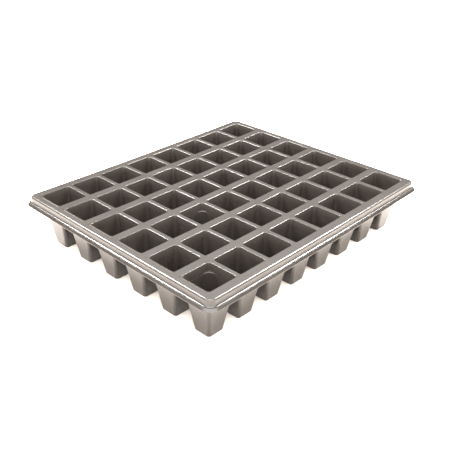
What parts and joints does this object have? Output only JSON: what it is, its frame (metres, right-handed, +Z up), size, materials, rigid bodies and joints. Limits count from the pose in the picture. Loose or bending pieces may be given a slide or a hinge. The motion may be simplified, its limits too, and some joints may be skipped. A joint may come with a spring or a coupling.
{
  "type": "plug tray",
  "caption": "Rectangular moulded propagation tray with a grid of deep tapered square cells, a flat deck and a stepped rim.",
  "frame": {"origin": "middle of the tray's outline, level with the undersides of the cells", "axes": "+X along the side with eight cells, +Y along the side with six cells, +Z up out of the cell mouths"},
  "size_m": [0.3476, 0.2926, 0.0584],
  "materials": {
    "tray_plastic": "glossy moulded sheet, dark warm brown-grey, with a fine grain on the deck"
  },
  "bodies": {
    "root": {"cell_a1": "tray_plastic", "cell_a2": "tray_plastic", "cell_a3": "tray_plastic", "cell_a4": "tray_plastic", "cell_a5": "tray_plastic", "cell_a6": "tray_plastic", "cell_a7": "tray_plastic", "cell_a8": "tray_plastic", "cell_b1": "tray_plastic", "cell_b2": "tray_plastic", "cell_b3": "tray_plastic", "cell_b4": "tray_plastic", "cell_b5": "tray_plastic", "cell_b6": "tray_plastic", "cell_b7": "tray_plastic", "cell_b8": "tray_plastic", "cell_c1": "tray_plastic", "cell_c2": "tray_plastic", "cell_c3": "tray_plastic", "cell_c4": "tray_plastic", "cell_c5": "tray_plastic", "cell_c6": "tray_plastic", "cell_c7": "tray_plastic", "cell_c8": "tray_plastic", "cell_d1": "tray_plastic", "cell_d2": "tray_plastic", "cell_d3": "tray_plastic", "cell_d4": "tray_plastic", "cell_d5": "tray_plastic", "cell_d6": "tray_plastic", "cell_d7": "tray_plastic", "cell_d8": "tray_plastic", "cell_e1": "tray_plastic", "cell_e2": "tray_plastic", "cell_e3": "tray_plastic", "cell_e4": "tray_plastic", "cell_e5": "tray_plastic", "cell_e6": "tray_plastic", "cell_e7": "tray_plastic", "cell_e8": "tray_plastic", "cell_f1": "tray_plastic", "cell_f2": "tray_plastic", "cell_f3": "tray_plastic", "cell_f4": "tray_plastic", "cell_f5": "tray_plastic", "cell_f6": "tray_plastic", "cell_f7": "tray_plastic", "cell_f8": "tray_plastic", "deck_rails": "tray_plastic", "deck_webs": "tray_plastic", "rim_right": "tray_plastic", "rim_rear": "tray_plastic", "rim_left": "tray_plastic", "rim_front": "tray_plastic", "rim_corner_rear_right": "tray_plastic", "rim_corner_rear_left": "tray_plastic", "rim_corner_front_left": "tray_plastic", "rim_corner_front_right": "tray_plastic"}
  },
  "joints": []
}
